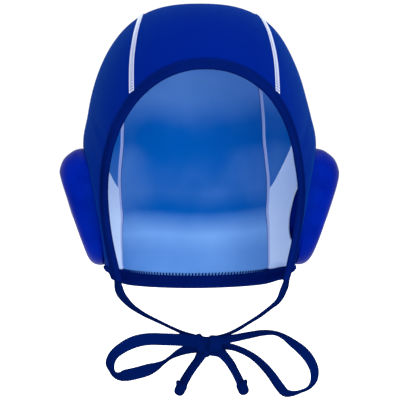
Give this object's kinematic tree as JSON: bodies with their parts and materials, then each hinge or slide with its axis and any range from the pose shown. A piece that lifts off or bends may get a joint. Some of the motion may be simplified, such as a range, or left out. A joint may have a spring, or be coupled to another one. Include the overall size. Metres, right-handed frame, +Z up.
{
  "type": "water polo cap",
  "caption": "Soft fabric cap with moulded ear guards, taped edges, flatlock seams and a chin tie in a bow, held up as worn.",
  "frame": {"origin": "inside top of the crown, where the cap sits on the head", "axes": "+Z up through the crown, the face opening looks along -Y, +X to the viewer's right seen from the front"},
  "size_m": [0.199, 0.1936, 0.2726],
  "materials": {
    "cap_cloth": "stretch swim cloth, royal blue outside with a paler blue back",
    "seam_thread": "white flatlock stitching",
    "edge_tape": "navy elastic tape",
    "guard_plastic": "soft satin moulded plastic, royal blue",
    "facing_cloth": "pale lavender blue lining cloth"
  },
  "bodies": {
    "root": {"centre_panel": "cap_cloth", "side_panel_left": "cap_cloth", "side_panel_right": "cap_cloth", "seam_left": "seam_thread", "seam_right": "seam_thread", "face_binding": "edge_tape", "nape_binding": "edge_tape", "ear_guard_left": "guard_plastic", "ear_guard_right": "guard_plastic", "ear_facing_left": "facing_cloth", "ear_facing_right": "facing_cloth", "chin_tie_left": "edge_tape", "chin_tie_right": "edge_tape", "bow_loop_left": "edge_tape", "bow_loop_right": "edge_tape", "tie_tail_left": "edge_tape", "tie_tail_right": "edge_tape", "bow_knot": "edge_tape", "end_knot_left": "edge_tape", "end_knot_right": "edge_tape"}
  },
  "joints": []
}
